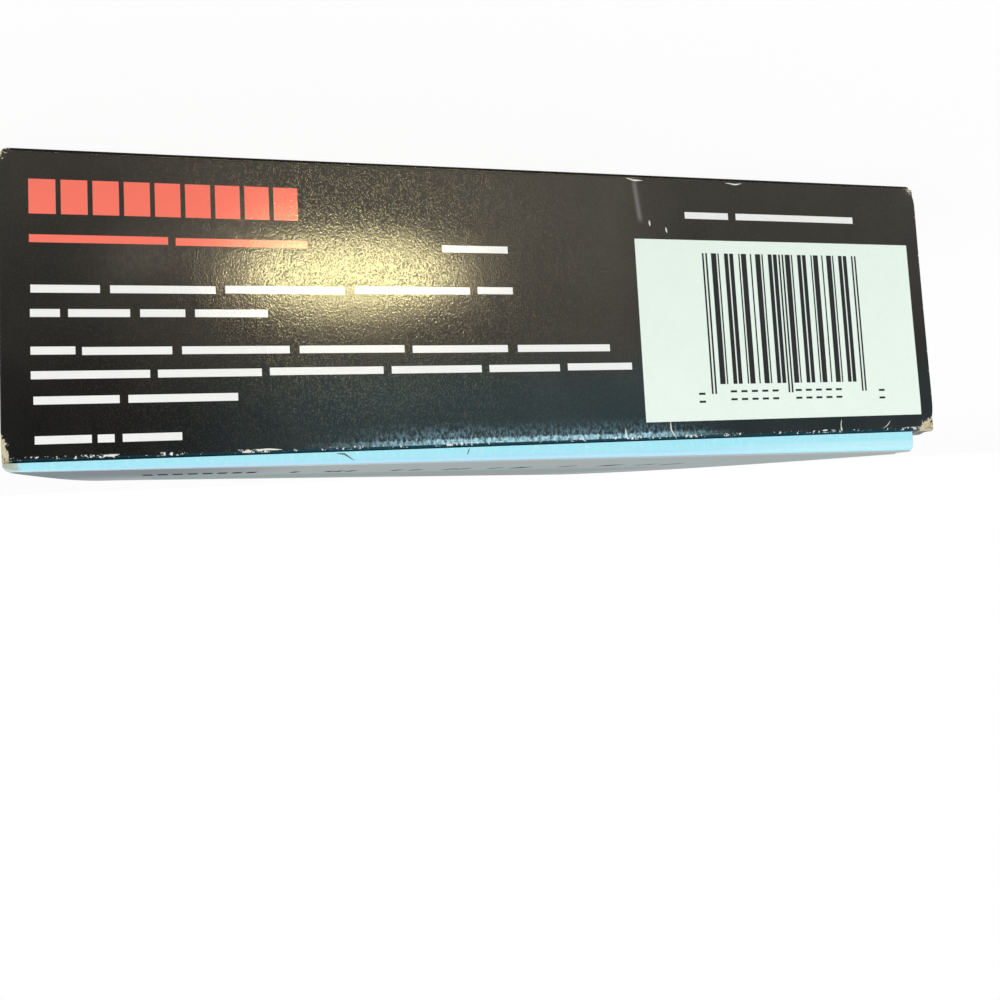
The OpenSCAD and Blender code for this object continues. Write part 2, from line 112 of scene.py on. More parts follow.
class shadeTree:
    # the nodes of one material or world
    def __init__(self, owner):
        owner.use_nodes = True
        self.nodes, self.links = owner.node_tree.nodes, owner.node_tree.links
        self.nodes.clear()

    def node(self, kind, settings=None, values=None, output=0):
        made = self.nodes.new(kind)
        for key, value in (settings or {}).items():
            setattr(made, key, value)
        for key, value in (values.items() if isinstance(values, dict) else enumerate(values or [])):
            if isinstance(value, shadeValue):
                self.links.new(value.socket, made.inputs[key])
            else:
                made.inputs[key].default_value = value
        return shadeValue(self, made.outputs[output]) if len(made.outputs) else made

    def place(self):
        # Object coordinates in millimetres: x, y, z and the vector
        vector = self.node("ShaderNodeTexCoord", output="Object")
        scaled = self.node("ShaderNodeVectorMath", {"operation": "SCALE"}, {0: vector, "Scale": 1000})
        return [self.node("ShaderNodeSeparateXYZ", None, [scaled], i) for i in range(3)] + [scaled]

    def stretched(self, vector, scale):
        return self.node("ShaderNodeMapping", None, {"Vector": vector, "Scale": scale})

    def noise(self, vector, scale, detail=2.0, rough=0.5):
        return self.node("ShaderNodeTexNoise", None,
                         {"Vector": vector, "Scale": scale, "Detail": detail, "Roughness": rough})

    def rise(self, value, low, high):
        # smooth step from 0 at low to 1 at high
        return self.node("ShaderNodeMapRange", {"interpolation_type": "SMOOTHSTEP"},
                         {"Value": value, "From Min": low, "From Max": high})

    def band(self, value, low, high, soft):
        return self.rise(value, low - soft, low + soft) * (1 - self.rise(value, high - soft, high + soft))

    def bell(self, value):
        # exp(-value squared)
        return self.node("ShaderNodeMath", {"operation": "EXPONENT"}, [-(value * value)])

    def zigzag(self, value, top):
        # from 0 up to top and back, over and over
        return self.node("ShaderNodeMath", {"operation": "PINGPONG"}, [value, top])

    def blend(self, factor, first, second):
        rgba = [c if isinstance(c, shadeValue) else (*c, 1) for c in (first, second)]
        return self.node("ShaderNodeMix", {"data_type": "RGBA"}, {0: factor, 6: rgba[0], 7: rgba[1]}, 2)

    def bump(self, height, distance, strength=1.0, normal=None):
        values = {"Height": height, "Distance": distance, "Strength": strength}
        if normal is not None:
            values["Normal"] = normal
        return self.node("ShaderNodeBump", None, values)

    def surface(self, colour, roughness, normal=None, **fixed):
        rgba = colour if isinstance(colour, shadeValue) else (*colour, 1)
        values = {"Base Color": rgba, "Roughness": roughness}
        if normal is not None:
            values["Normal"] = normal
        values.update({key.replace("_", " "): value for key, value in fixed.items()})
        return self.node("ShaderNodeBsdfPrincipled", None, values)

    def finish(self, shader):
        self.node("ShaderNodeOutputMaterial", None, {"Surface": shader})


def makeCamera(place):
    data = bpy.data.cameras.new("endCamera")
    data.lens, data.sensor_width = place["lens"], 36  # millimetres
    data.shift_x, data.shift_y = place["shift"]
    data.clip_start, data.clip_end = 0.01, 100  # metres
    camera = bpy.data.objects.new("endCamera", data)
    camera.location = [c * mm for c in place["at"]]
    camera.rotation_euler = [math.radians(a) for a in place["turn"]]
    bpy.context.scene.collection.objects.link(camera)
    bpy.context.scene.camera = camera


def seenDirectly(tree):
    # 1 for rays from the camera, mirror rays and rays through glass, which show the white background
    seen = [tree.node("ShaderNodeLightPath", output=name)
            for name in ("Is Camera Ray", "Is Glossy Ray", "Is Transmission Ray")]
    return seen[0].most(seen[1]).most(seen[2])


def makeWorld():
    world = bpy.data.worlds.new("paleStudio")
    bpy.context.scene.world = world
    tree = shadeTree(world)
    seen = seenDirectly(tree)
    strength = studio["skyForSurfaces"] + seen * (1 - studio["skyForSurfaces"])
    sky = tree.node("ShaderNodeBackground", None, {"Color": (1, 1, 1, 1), "Strength": strength})
    tree.node("ShaderNodeOutputWorld", None, {"Surface": sky})


def makeFloor():
    mesh = bpy.data.meshes.new("studioFloor")
    side, level = studio["floorSide"], studio["floorLevel"]
    corners = [(-side, -side, level), (side, -side, level), (side, side, level), (-side, side, level)]
    mesh.from_pydata(corners, [], [(0, 1, 2, 3)])
    floor = bpy.data.objects.new("studioFloor", mesh)
    bpy.context.scene.collection.objects.link(floor)
    material = bpy.data.materials.new("paleFloor")
    tree = shadeTree(material)
    matt = tree.node("ShaderNodeBsdfDiffuse", None, {"Color": (*studio["floorColour"], 1)})
    white = tree.node("ShaderNodeEmission", None, {"Color": (1, 1, 1, 1), "Strength": 1.0})
    factor = seenDirectly(tree) * studio["floorWhitening"]
    tree.finish(tree.node("ShaderNodeMixShader", None, {0: factor, 1: matt, 2: white}))
    mesh.materials.append(material)


def makeLamps():
    def lamp(name, at, size, power, colour, target):
        data = bpy.data.lights.new(name, "AREA")
        data.shape, data.size, data.size_y = "RECTANGLE", size[0], size[1]
        data.energy, data.color = power, colour
        made = bpy.data.objects.new(name, data)
        made.location = at
        made.rotation_euler = (Vector(target) - Vector(at)).to_track_quat("-Z", "Y").to_euler()
        made.visible_camera = False
        bpy.context.scene.collection.objects.link(made)
        return made

    for spec in lamps:
        size = (spec["size"], spec["size"])
        lamp(spec["name"], spec["at"], size, spec["power"], spec["colour"], studio["lampTarget"])
    for spec in glints:
        at, size = [c * mm for c in spec["at"]], [c * mm for c in spec["size"]]
        made = lamp(spec["name"], at, size, spec["power"], spec["colour"], (at[0], at[1] + 1, at[2]))
        made.data.shape = "ELLIPSE"
        made.visible_diffuse = False  # it only shows as the gloss of the printed end


makeCamera(cameraPlace)
makeWorld()
makeFloor()
makeLamps()
bpy.context.scene.view_settings.view_transform = "Standard"
print("camera, floor and lamps made")


# thin sheets, which all the board and its print are made of (degrees, metres, millimetres)
sheetRules = {"smoothAngle": 35, "weldDistance": 1e-7, "printDepth": 0.08}


def gridQuads(count, rows, columns):
    # corner numbers of every cell of count grids, each rows by columns
    base = (np.arange(count)[:, None, None] * rows * columns + np.arange(rows - 1)[:, None] * columns
            + np.arange(columns - 1))
    return np.stack([base, base + columns, base + columns + 1, base + 1], -1).reshape(-1, 4)


def rimQuads(count, rows, columns):
    # walls that join the borders of each front grid to those of its back grid
    index = np.arange(count * rows * columns).reshape(count, rows, columns)
    loop = np.concatenate([index[:, :, 0], index[:, -1, 1:], index[:, -2::-1, -1], index[:, 0, -2:0:-1]], 1)
    following, total = np.roll(loop, -1, 1), count * rows * columns
    return np.stack([loop, loop + total, following + total, following], -1).reshape(-1, 4)


def closedSheet(name, front, back, body, material, backMaterial=None, weld=False):
    # A thin closed piece: the grid of its face, the same grid behind it, and walls between their borders.
    # front and back are arrays of points, count x rows x columns x 3, in millimetres.
    if front.ndim == 3:
        front, back = front[None], back[None]
    count, rows, columns = front.shape[:3]
    total = count * rows * columns
    points = np.concatenate([front.reshape(-1, 3), back.reshape(-1, 3)]) * mm
    faceQuads = gridQuads(count, rows, columns)
    quads = np.concatenate([faceQuads, faceQuads[:, ::-1] + total, rimQuads(count, rows, columns)])
    corners = points[quads]
    volume = np.einsum("ij,ij->i", corners[:, 0], np.cross(corners[:, 1], corners[:, 2])).sum() \
        + np.einsum("ij,ij->i", corners[:, 0], np.cross(corners[:, 2], corners[:, 3])).sum()
    if volume < 0:
        quads = quads[:, ::-1]
    mesh = bpy.data.meshes.new(name)
    mesh.from_pydata(points.tolist(), [], quads.tolist())
    mesh.materials.append(material)
    if backMaterial:
        mesh.materials.append(backMaterial)
        slots = np.zeros(len(quads), np.int32)
        slots[len(faceQuads):2 * len(faceQuads)] = 1
        mesh.polygons.foreach_set("material_index", slots)
    if weld:
        # cells that have shrunk to nothing in a corner are merged away
        reach = sheetRules["weldDistance"]
        sculpt = bmesh.new()
        sculpt.from_mesh(mesh)
        bmesh.ops.remove_doubles(sculpt, verts=sculpt.verts, dist=reach)
        bmesh.ops.dissolve_degenerate(sculpt, edges=sculpt.edges, dist=reach)
        sculpt.to_mesh(mesh)
        sculpt.free()
    mesh.polygons.foreach_set("use_smooth", np.ones(len(mesh.polygons), bool))
    mesh.set_sharp_from_angle(angle=math.radians(sheetRules["smoothAngle"]))
    piece = bpy.data.objects.new(name, mesh)
    bpy.context.scene.collection.objects.link(piece)
    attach(piece, body)
    return piece


def threeSpans(ends, counts):
    # even steps between each two of four ends, with the inner ends kept once
    spans = [np.linspace(ends[i], ends[i + 1], counts[i]) for i in range(3)]
    return np.concatenate([spans[0][:-1], spans[1], spans[2][1:]])


def patchGrid(rects, rows, columns):
    # each rectangle (a0, b0, a1, b1) as a grid of its two coordinates
    rects = np.array(rects, float)[:, None, None, :]
    u, v = np.linspace(0, 1, rows)[None, :, None], np.linspace(0, 1, columns)[None, None, :]
    return (rects[..., 0] + (rects[..., 2] - rects[..., 0]) * u + 0 * v,
            rects[..., 1] + (rects[..., 3] - rects[..., 1]) * v + 0 * u)


def smoothStep(value, low, high):
    # from 0 at low to 1 at high, by 3 t squared less 2 t cubed
    t = np.clip((value - low) / (high - low), 0, 1)
    return t * t * (3 - 2 * t)


def gaussian(value):
    # bell curve: exp(-value squared)
    return np.exp(-value * value)


def roundOff(distance, radius):
    # how far a face drops back at a distance from a round edge: a quarter circle
    s = np.clip(1 - distance / radius, 0, 1)
    return radius * (1 - np.sqrt(1 - s * s))


# materials of the printed board; heights of the relief in metres
# of these, the warm and cool dust colours are painted reflections, smear is the tone of a painted glow, the
# two frost colours are scuffs with a painted highlight, and haze is a painted highlight
boardColours = {
    "raw": (0.74, 0.68, 0.46), "rawDark": (0.42, 0.37, 0.25), "ink": (0.0020, 0.0020, 0.0022),
    "inkWorn": (0.010, 0.0095, 0.0085), "warmPaintedReflection": (0.072, 0.066, 0.054), "coolPaintedReflection": (0.044, 0.074, 0.080),
    "smear": (0.16, 0.14, 0.11), "frostAndHighlight": (0.33, 0.60, 0.74), "frostGlint": (0.46, 0.79, 0.91),
    "nick": (0.88, 0.92, 0.90), "navy": (0.0, 0.040, 0.062), "haze": (0.22, 0.21, 0.20)}
gloss = {"clear": 0.040, "cloudy": 0.60, "flecks": (0.56, 0.66), "specular": 0.10, "crackleScale": 4.9,
         "crackleHeight": 0.000025, "dimpleScale": 2.3, "dimpleHeight": 0.000016, "waveHeight": 0.00008}


def startMaterial(name):
    # an empty material, its tree and its coordinates in millimetres: x, y, z and the vector
    material = bpy.data.materials.new(name)
    tree = shadeTree(material)
    return material, tree, tree.place()


def laminate(tree, vector):
    # the gloss film: long soft ripples, shallow dimples and a very fine crackle, each on top of the last
    ripple = tree.noise(tree.stretched(vector, (0.22, 0.22, 0.13)), 1.0, 2, 0.5)
    grained = tree.stretched(vector, (1.25, 1.0, 0.85))
    dimple = tree.noise(grained, gloss["dimpleScale"], 0)
    crackle = tree.noise(grained, gloss["crackleScale"], 0)
    soft = tree.bump(dimple, gloss["dimpleHeight"], 1.0, tree.bump(ripple, gloss["waveHeight"]))
    return tree.bump(crackle, gloss["crackleHeight"], 1.0, soft), crackle


def filmRoughness(tree, crackle):
    # clear film with cloudy flecks, which break a highlight up and spread a faint glow round it
    return gloss["clear"] + tree.rise(crackle, *gloss["flecks"]) * gloss["cloudy"]


# the two axes that each printed panel spans, where its print ends along them, and how wide and many its
# chips are
chipped = {
    "nearEndPrint": {"axes": (0, 2), "box": (-78.5, 0.15, 78.6, 45.6), "chipWidth": 0.45, "chips": 0.60},
    "farEndPrint": {"axes": (0, 2), "box": (-78.5, 0.4, 78.6, 45.4), "chipWidth": 0.5, "chips": 0.60},
    "sidePrint": {"axes": (1, 2), "box": (-79.6, 0.3, 79.6, 45.4), "chipWidth": 0.5, "chips": 0.60},
    "backPrint": {"axes": (0, 1), "box": (-78.2, -80.6, 78.2, 80.6), "chipWidth": 0.5, "chips": 0.62}}
inkWear = {"cloud": (0.35, 0.7), "edgeSlope": 0.35, "edgeStep": (-0.02, 0.05), "cornerSlope": 0.11,
           "cornerStep": (0.36, 0.42), "chipRoughness": 0.5}


def inkedBoard(name):
    # black print, chipped down to the board wherever the grain, less a share of the distance to the nearest
    # edges, passes a level
    spec = chipped[name]
    material, tree, place = startMaterial(name)
    u, v, vector = place[spec["axes"][0]], place[spec["axes"][1]], place[3]
    normal, crackle = laminate(tree, vector)
    cloud = tree.noise(vector, 0.05, 3, 0.6)
    colour = tree.blend(tree.rise(cloud, *inkWear["cloud"]), boardColours["ink"], boardColours["inkWorn"])
    grain = tree.noise(vector, 1.9, 4, 0.65)
    box = spec["box"]
    gapU, gapV = (u - box[0]).least(box[2] - u), (v - box[1]).least(box[3] - v)
    low, high = (spec["chips"] + step for step in inkWear["edgeStep"])
    chip = tree.rise(grain - gapU.least(gapV) / spec["chipWidth"] * inkWear["edgeSlope"], low, high)
    chip = chip.most(tree.rise(grain - (gapU + gapV) * inkWear["cornerSlope"], *inkWear["cornerStep"]))
    raw = tree.blend(crackle, boardColours["rawDark"], boardColours["raw"])
    return material, tree, {"place": place, "normal": normal, "colour": colour, "grain": grain, "chip": chip,
                            "raw": raw, "crackle": crackle, "cloud": cloud}


def finishInked(tree, parts):
    colour = tree.blend(parts["chip"], parts["colour"], parts["raw"])
    rough = filmRoughness(tree, parts["crackle"]) + parts["chip"] * inkWear["chipRoughness"]
    tree.finish(tree.surface(colour, rough, parts["normal"], Specular_IOR_Level=gloss["specular"]))


# painted reflections, painted glow and highlights, scuffs and wear of the photographed end: places in
# millimetres, shares from 0 to 1. Here and in endPanel, left is high x, because the photo shows the carton
# upside down
paintedEndReflection = {"even": 0.75, "uneven": 0.5,
           "warm": {"left": (22, 74), "right": (16, 34), "rightLoss": 0.75, "height": 41, "share": 0.50,
                    "middleShare": 0.5, "middleEnds": (28, 40)},
           "cool": {"left": (18, 66), "right": (16, 34), "rightLoss": 0.48, "starts": (27, 38),
                    "share": 0.52}}
paintedGlowPatches = {"patches": [((59, 15.5), (5.5, 4.0)), ((47, 13.0), (8.0, 5.5))], "share": 0.55}
foldScuffAndHighlight = {"left": (8, 38), "right": (17, 39), "rightLoss": 1, "haze": (40.9, 44.5),
             "blotches": (0.42, 0.66), "share": 0.38, "bright": (8, 26, 5), "brightShare": 0.22,
             "seam": (43.95, 44.85, 0.2), "seamWander": 1.2, "seamBreaks": (0.33, 0.62), "seamShare": 0.9}
foldInk = {"navy": (44.66, 44.80), "navyEnds": (20, 60), "navyLoss": 0.45, "runs": (0.40, 0.60),
           "runShare": 0.13, "chips": (0.65, 0.69), "chipBand": (44.50, 44.95, 0.12)}
boardBend = {"at": -21.5, "from": 1.2, "slant": 0.10, "width": 0.7, "deep": 0.14, "ends": (5, 11),
             "highlightAt": -21.45, "highlightWidth": 0.42, "highlightBand": (1.2, 8.0, 0.9), "highlightShare": 0.75}
# each worn corner by its place and its reach along x and z; the speckle follows the right-hand edge
endCorners = {"worn": [((-79.0, 45.8), (4.3, 3.2)), ((-79.0, 0.0), (2.2, 1.7)), ((79.0, 46.0), (1.6, 5.2)),
                       ((79.2, 0), (1.2, 3.4))],
              "wornStep": (0.86, 0.98), "ragged": 0.9, "speckleFrom": -78.4, "speckleSlope": 0.22,
              "speckleStep": (0.56, 0.61)}


def acrossWidth(tree, x, spec):
    # 1 over the middle of the width, less towards the left and right
    return (1 - tree.rise(x, *spec["left"])) * (1 - tree.rise(-x, *spec["right"]) * spec["rightLoss"])


def addPaintedReflection(tree, x, z, cloud, colour):
    # painted reflections: a warm one that fades with height and is stronger over the middle of the width, and
    # a cool one by the fold
    warm, cool, uneven = paintedEndReflection["warm"], paintedEndReflection["cool"], paintedEndReflection["even"] + cloud * paintedEndReflection["uneven"]
    middle = acrossWidth(tree, x, warm) * warm["middleShare"] * (1 - tree.rise(z, *warm["middleEnds"]))
    warmPaintedReflection = ((1 - z / warm["height"]) * warm["share"] + middle) * uneven
    coolPaintedReflection = acrossWidth(tree, x, cool) * tree.rise(z, *cool["starts"]) * cool["share"] * uneven
    colour = tree.blend(warmPaintedReflection.most(0), colour, boardColours["warmPaintedReflection"])
    return tree.blend(coolPaintedReflection, colour, boardColours["coolPaintedReflection"])


def addPaintedGlow(tree, x, z, streaks, colour):
    # two warm patches of painted glow left of the highlight, streaked, each a bell curve in x and z
    for (cx, cz), (rx, rz) in paintedGlowPatches["patches"]:
        patch = tree.bell((x - cx) / rx) * tree.bell((z - cz) / rz)
        colour = tree.blend(patch * streaks * paintedGlowPatches["share"], colour, boardColours["smear"])
    return colour


def addScuffAndHighlight(tree, x, z, vector, streaks, colour):
    # frosted scuff along the hinge fold, partly a painted bluish highlight: a bright broken seam and a
    # blotchy haze below it
    along = acrossWidth(tree, x, foldScuffAndHighlight)
    blotch = tree.noise(tree.stretched(vector, (1.9, 1, 1.1)), 1.0, 4, 0.72)
    haze = tree.rise(z, *foldScuffAndHighlight["haze"]) * along * tree.rise(blotch, *foldScuffAndHighlight["blotches"])
    share = foldScuffAndHighlight["share"] + tree.band(x, *foldScuffAndHighlight["bright"]) * foldScuffAndHighlight["brightShare"]
    colour = tree.blend(haze * share, colour, boardColours["frostAndHighlight"])
    seam = tree.band(z + (blotch - 0.5) * foldScuffAndHighlight["seamWander"], *foldScuffAndHighlight["seam"]) * along
    seam = seam * tree.rise(streaks, *foldScuffAndHighlight["seamBreaks"]) * foldScuffAndHighlight["seamShare"]
    return tree.blend(seam, colour, boardColours["frostGlint"])


def addFoldInk(tree, x, z, vector, grain, colour):
    # dark blue of the front's print, which laps over the fold, and bright chips in runs
    navy = tree.rise(z, *foldInk["navy"]) * (1 - tree.rise(x, *foldInk["navyEnds"]) * foldInk["navyLoss"])
    colour = tree.blend(navy, colour, boardColours["navy"])
    runs = tree.noise(tree.stretched(vector, (0.13, 0, 0)), 1.0, 1, 0.5)
    chip = tree.rise(grain + tree.rise(runs, *foldInk["runs"]) * foldInk["runShare"], *foldInk["chips"])
    return tree.blend(chip * tree.band(z, *foldInk["chipBand"]), colour, boardColours["nick"])


def addBendHighlight(tree, x, z, colour):
    # painted highlight where the board was once bent, near its lower edge
    off = x - boardBend["highlightAt"] + (z - boardBend["from"]) * boardBend["slant"]
    haze = tree.bell(off / boardBend["highlightWidth"]) * tree.band(z, *boardBend["highlightBand"])
    return tree.blend(haze * boardBend["highlightShare"], colour, boardColours["haze"])


def cornerChips(tree, x, z, grain):
    # ragged ellipses of bare board at the corners, and specks along the whole right-hand edge
    chips = tree.rise(grain - (x - endCorners["speckleFrom"]) * endCorners["speckleSlope"],
                      *endCorners["speckleStep"])
    for (cx, cz), (rx, rz) in endCorners["worn"]:
        reach = (((x - cx) / rx) ** 2 + ((z - cz) / rz) ** 2) ** 0.5
        ragged = reach + (grain - 0.5) * endCorners["ragged"]
        chips = chips.most(1 - tree.rise(ragged, *endCorners["wornStep"]))
    return chips


def nearEndMaterial():
    material, tree, parts = inkedBoard("nearEndPrint")
    x, _, z, vector = parts["place"]
    grain = parts["grain"]
    streaks = tree.noise(tree.stretched(vector, (1.5, 1, 0.9)), 1.0, 4, 0.7)
    colour = addPaintedReflection(tree, x, z, parts["cloud"], parts["colour"])
    colour = addPaintedGlow(tree, x, z, streaks, colour)
    colour = addScuffAndHighlight(tree, x, z, vector, streaks, colour)
    colour = addFoldInk(tree, x, z, vector, grain, colour)
    parts["colour"] = addBendHighlight(tree, x, z, colour)
    parts["chip"] = parts["chip"].most(cornerChips(tree, x, z, grain))
    finishInked(tree, parts)
    return material


def printMaterial(name, colour, worn=0.12, roughness=0.2, specular=0.14):
    # one flat ink under the same gloss film, a little uneven
    material, tree, (*_, vector) = startMaterial(name)
    normal, _ = laminate(tree, vector)
    cloud = tree.noise(vector, 0.12, 3, 0.6)
    deep, pale = tuple(c * (1 - worn) for c in colour), tuple(min(1, c * (1 + worn * 0.6)) for c in colour)
    tone = tree.blend(cloud, deep, pale)
    tree.finish(tree.surface(tone, roughness + cloud * 0.1, normal, Specular_IOR_Level=specular))
    return material


def rawBoardMaterial(name, light, dark, scale=1.0):
    # grey-cream fibres of uncoated board: short flecks over a soft cloud
    material, tree, (*_, vector) = startMaterial(name)
    fibre = tree.noise(tree.stretched(vector, (0.5 * scale, 1.9 * scale, 1.9 * scale)), 1.0, 5, 0.7)
    cloud = tree.noise(vector, 0.08, 3, 0.5)
    tone = tree.blend(tree.rise(fibre, 0.3, 0.75), dark, light)
    tone = tree.blend(cloud * 0.35, tone, dark)
    tree.finish(tree.surface(tone, 0.72 + fibre * 0.2, tree.bump(fibre, 0.00005), Specular_IOR_Level=0.25))
    return material


def panelFinish(name):
    material, tree, parts = inkedBoard(name)
    finishInked(tree, parts)
    return material


rawBoard = rawBoardMaterial("rawBoard", (0.74, 0.68, 0.52), (0.52, 0.46, 0.33))
nearPrint = nearEndMaterial()
backPrint = panelFinish("backPrint")
sidePrint = panelFinish("sidePrint")
farPrint = panelFinish("farEndPrint")


# photographed end: its edges, face, folds, soft waves and crushed corners (place, radius and depth)
endPanel = {"left": 78.6, "right": -78.5, "low": 0.50, "high": 45.25, "face": -80.0, "board": 0.5,
            "lowFold": 0.36, "hingeFold": 0.35, "sideEdge": 0.25, "evenX": (-73, 73), "evenZ": (2, 43)}
endWaves = {"long": 0.06, "longX": 17, "longZ": 14, "longShift": 0.6,
            "short": 0.03, "shortX": 6.1, "shortZ": 9}
crushedCorners = [((-78.5, 45.3), 2.6, 0.9), ((-78.5, 0.6), 1.6, 0.6), ((78.6, 45.3), 2.2, 0.6),
                  ((78.6, 0.6), 1.0, 0.3)]


def boardDepth(x, z):
    # how far an end's face lies behind its plane: quarter-circle folds, and soft waves that are sines of x
    # and z
    panel, waves = endPanel, endWaves
    depth = roundOff(z - panel["low"], panel["lowFold"]) + roundOff(panel["high"] - z, panel["hingeFold"])
    depth = depth + roundOff(np.minimum(panel["left"] - x, x - panel["right"]), panel["sideEdge"])
    ripple = np.sin(x / waves["longX"] + waves["longShift"]) * np.sin(z / waves["longZ"])
    return depth + waves["long"] * (1 + ripple) \
        + waves["short"] * (1 + np.sin(x / waves["shortX"] + z / waves["shortZ"]))


def endDepth(x, z):
    # the photographed end also has one bend at its lower edge and crushed corners, each a bell curve
    off = x - boardBend["at"] + (z - boardBend["from"]) * boardBend["slant"]
    depth = boardDepth(x, z) \
        + boardBend["deep"] * gaussian(off / boardBend["width"]) * (1 - smoothStep(z, *boardBend["ends"]))
    for (cx, cz), radius, deep in crushedCorners:
        depth = depth + deep * gaussian(np.hypot(x - cx, z - cz) / radius)
    return depth


def makeEndBoard(name, side, depth, body, material, replaced):
    # side is -1 for the near end and 1 for the far one
    left, right, low, high = (endPanel[key] for key in ("left", "right", "low", "high"))
    x = threeSpans((right, *endPanel["evenX"], left), (24, 240, 24))
    z = threeSpans((low, *endPanel["evenZ"], high), (12, 62, 18))
    x, z = np.meshgrid(x, z, indexing="ij")
    front = np.stack([x, side * (-endPanel["face"] - depth(x, z)), z], -1)
    back = front - [0, side * endPanel["board"], 0]
    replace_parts(closedSheet(name, front, back, body, material, rawBoard), replaced)


def onEnd(rects, lift, rows, columns):
    # patches of print on the end, from rectangles (x0, z0, x1, z1), that follow the face
    x, z = patchGrid(rects, rows, columns)
    face = endPanel["face"] + endDepth(x, z)
    return np.stack([x, face - lift, z], -1), np.stack([x, face + sheetRules["printDepth"], z], -1)


def makePrint(name, rects, lift, material, rows, columns):
    front, back = onEnd(rects, lift, rows, columns)
    return closedSheet(name, front, back, "near_end", material)


# print of the photographed end in millimetres; rules are (from x, to x, z)
printLayout = {
    "lift": 0.012,
    "label": (-20.76, 11.21, -75.68, 42.24),
    "bars": {"start": -33.35, "width": 31.1, "top": 13.45, "low": 36.1, "guardLow": 37.75, "modules": 95,
             "halfCount": 22, "halfModules": 42},
    "figures": {"outer": [(-30.9, 37.5), (-67.0, 37.5)], "start": -37.0, "step": 2.05, "gap": 2.6,
                "level": 37.2, "count": 10, "dash": (1.2, 0.36), "drops": (0, 1.35)},
    "band": {"from": 74.5, "to": 35.9, "blocks": 9, "gap": 0.7, "top": 4.6, "low": 9.7},
    "ruleHeight": 1.15,
    "coralRules": [(74.5, 55.3, 13.3), (54.2, 34.6, 13.4)],
    "whiteRules": [
        (74.4, 65.0, 20.6), (63.6, 48.6, 20.6), (47.2, 29.1, 20.5), (27.5, 8.8, 20.4), (7.5, 1.5, 20.3),
        (74.5, 70.5, 24.1), (69.4, 60.9, 24.1), (59.5, 53.1, 24.1), (51.7, 41.0, 24.1), (13.1, 2.0, 13.6),
        (74.5, 68.5, 29.5), (67.6, 55.1, 29.6), (53.7, 37.9, 29.6), (36.4, 20.0, 29.6), (18.7, 2.9, 29.7),
        (1.2, -15.0, 29.7), (74.5, 58.3, 33.0), (57.2, 42.2, 33.0), (41.0, 23.5, 32.9), (22.2, 7.5, 32.9),
        (6.2, -5.9, 32.9), (-7.3, -18.8, 32.8), (74.2, 62.6, 36.6), (61.4, 45.8, 36.6), (74.1, 66.5, 42.2),
        (65.7, 63.4, 42.2), (62.3, 54.0, 42.2), (-30.6, -39.0, 6.9), (-40.5, -64.5, 6.9)]}


def barWidths(bars):
    # bars and spaces in turn, in modules: each half comes from a formula alone, spells nothing and fills its
    # modules between the usual guard bars, each one module wide
    order = np.arange(2 * bars["halfCount"])
    halves = (1 + (order * order * 5 + order * 3 + 2) % 7 % 4).astype(float).reshape(2, -1)
    halves *= bars["halfModules"] / halves.sum(1, keepdims=True)
    return np.concatenate([np.ones(3), halves[0], np.ones(5), halves[1], np.ones(3)])


def makeCodeBars(lift, ink):
    bars = printLayout["bars"]
    widths = barWidths(bars) * (bars["width"] / bars["modules"])
    ends = np.cumsum(widths)
    middle, last = 3 + bars["halfCount"], len(widths) - 1
    guards = (0, 2, middle + 1, middle + 3, last - 2, last)
    rects = [(bars["start"] - (ends[i] - widths[i]), bars["top"],
              bars["start"] - ends[i], bars["guardLow"] if i in guards else bars["low"])
             for i in range(0, len(widths), 2)]
    makePrint("codeBars", rects, lift, ink, 2, 24)


def makeCodeTicks(lift, ink):
    # a pair of dashes stands for each figure under the bars, in two groups and one at each side
    figures = printLayout["figures"]
    wide, high = figures["dash"]
    places = list(figures["outer"])
    for i in range(figures["count"]):
        gap = figures["gap"] if i >= figures["count"] // 2 else 0
        places.append((figures["start"] - figures["step"] * i - gap, figures["level"]))
    dashes = [(x, z + drop, x - wide, z + drop + high) for x, z in places for drop in figures["drops"]]
    makePrint("codeTicks", dashes, lift, ink, 3, 2)


def makeEndPrint():
    lift = printLayout["lift"]
    labelInk = printMaterial("labelField", (0.83, 0.945, 0.865), 0.03, 0.3)
    coral = printMaterial("coralInk", (1.0, 0.20, 0.14), 0.05)
    white = printMaterial("whiteInk", (0.90, 0.91, 0.89), 0.05)
    dark = printMaterial("barInk", (0.022, 0.022, 0.024), 0.3, 0.3)
    makePrint("labelField", [printLayout["label"]], lift, labelInk, 90, 50)
    band = printLayout["band"]
    width = (band["from"] - band["to"] + band["gap"]) / band["blocks"]
    starts = band["from"] - width * np.arange(band["blocks"])
    blocks = [(x, band["top"], x - width + band["gap"], band["low"]) for x in starts]
    makePrint("coralBand", blocks, lift, coral, 8, 8)
    half = printLayout["ruleHeight"] / 2
    for name, ink, rows in (("coralRules", coral, 30), ("whiteRules", white, 24)):
        rules = [(x0, z - half, x1, z + half) for x0, x1, z in printLayout[name]]
        makePrint(name, rules, lift, ink, rows, 3)
    makeCodeBars(lift * 2, dark)  # on top of the label
    makeCodeTicks(lift * 2, dark)


makeEndBoard("nearEndBoard", -1, endDepth, "near_end", nearPrint, "near_closure")
makeEndPrint()
print("photographed end made")


# back and side panels
backPanel = {"halfX": 78.45, "halfY": 79.72, "board": 0.5, "edge": 0.35, "corner": 1.6, "fine": 2,
             "leastBoard": 0.05}
sidePanel = {"out": 78.45, "halfY": 79.42, "low": 0.52, "high": 45.25, "board": 0.5, "fold": 0.35,
             "swell": 0.30, "wave": 0.05, "evenY": (-78, 78), "evenZ": (1.5, 44)}


